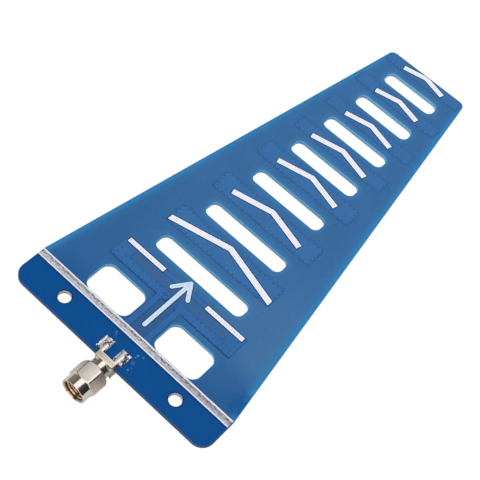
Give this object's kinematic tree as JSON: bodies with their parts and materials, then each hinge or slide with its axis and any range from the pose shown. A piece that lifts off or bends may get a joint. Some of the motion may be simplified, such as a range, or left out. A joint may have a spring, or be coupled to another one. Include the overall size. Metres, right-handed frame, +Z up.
{
  "type": "directional antenna",
  "caption": "Flat printed-circuit Yagi antenna: tapered slotted board with copper radiators and a coaxial plug with a captive hexagonal coupling nut at its wide end",
  "frame": {"origin": "on the ground under the middle of the bounding box: the plug's nut stands on the ground at one end", "axes": "+Y from the plug towards the far end, the direction the antenna points; +X across the board; +Z up, out of the printed face"},
  "size_m": [0.075, 0.174, 0.0085],
  "materials": {
    "laminate": "translucent glass-epoxy laminate under glossy blue solder mask",
    "masked_copper": "copper under glossy blue solder mask",
    "tinned": "solder-coated copper, slightly streaky",
    "ink": "white printed ink, satin",
    "nickel": "turned, pale plated metal, polished",
    "gold": "gold-plated contact",
    "dielectric": "white fluoropolymer",
    "spring": "spring metal"
  },
  "bodies": {
    "board": {"circuit_board": "laminate", "radiator_copper_top": "masked_copper", "radiator_copper_under": "masked_copper", "tinned_strip": "tinned", "ground_solder_left": "tinned", "ground_solder_right": "tinned", "pin_solder": "tinned", "direction_arrow": "ink", "dipole_bar_left": "ink", "dipole_bar_right": "ink", "plug_body": "nickel", "insulator": "dielectric", "centre_pin": "gold", "retaining_ring": "spring", "director_1_top": "masked_copper", "director_1_under": "masked_copper", "chevron_1": "ink", "director_2_top": "masked_copper", "director_2_under": "masked_copper", "chevron_2": "ink", "director_3_top": "masked_copper", "director_3_under": "masked_copper", "chevron_3": "ink", "director_4_top": "masked_copper", "director_4_under": "masked_copper", "chevron_4": "ink", "director_5_top": "masked_copper", "director_5_under": "masked_copper", "chevron_5": "ink", "director_6_top": "masked_copper", "director_6_under": "masked_copper", "chevron_6": "ink", "director_7_top": "masked_copper", "director_7_under": "masked_copper", "chevron_7": "ink"},
    "nut": {"coupling_nut": "nickel"}
  },
  "joints": [
    {"name": "coupling_nut_spin", "type": "hinge", "parent": "board", "child": "nut", "pos_m": [0.00025, -0.0827, 0.00425], "axis": [0, -1, 0], "continuous": true}
  ]
}
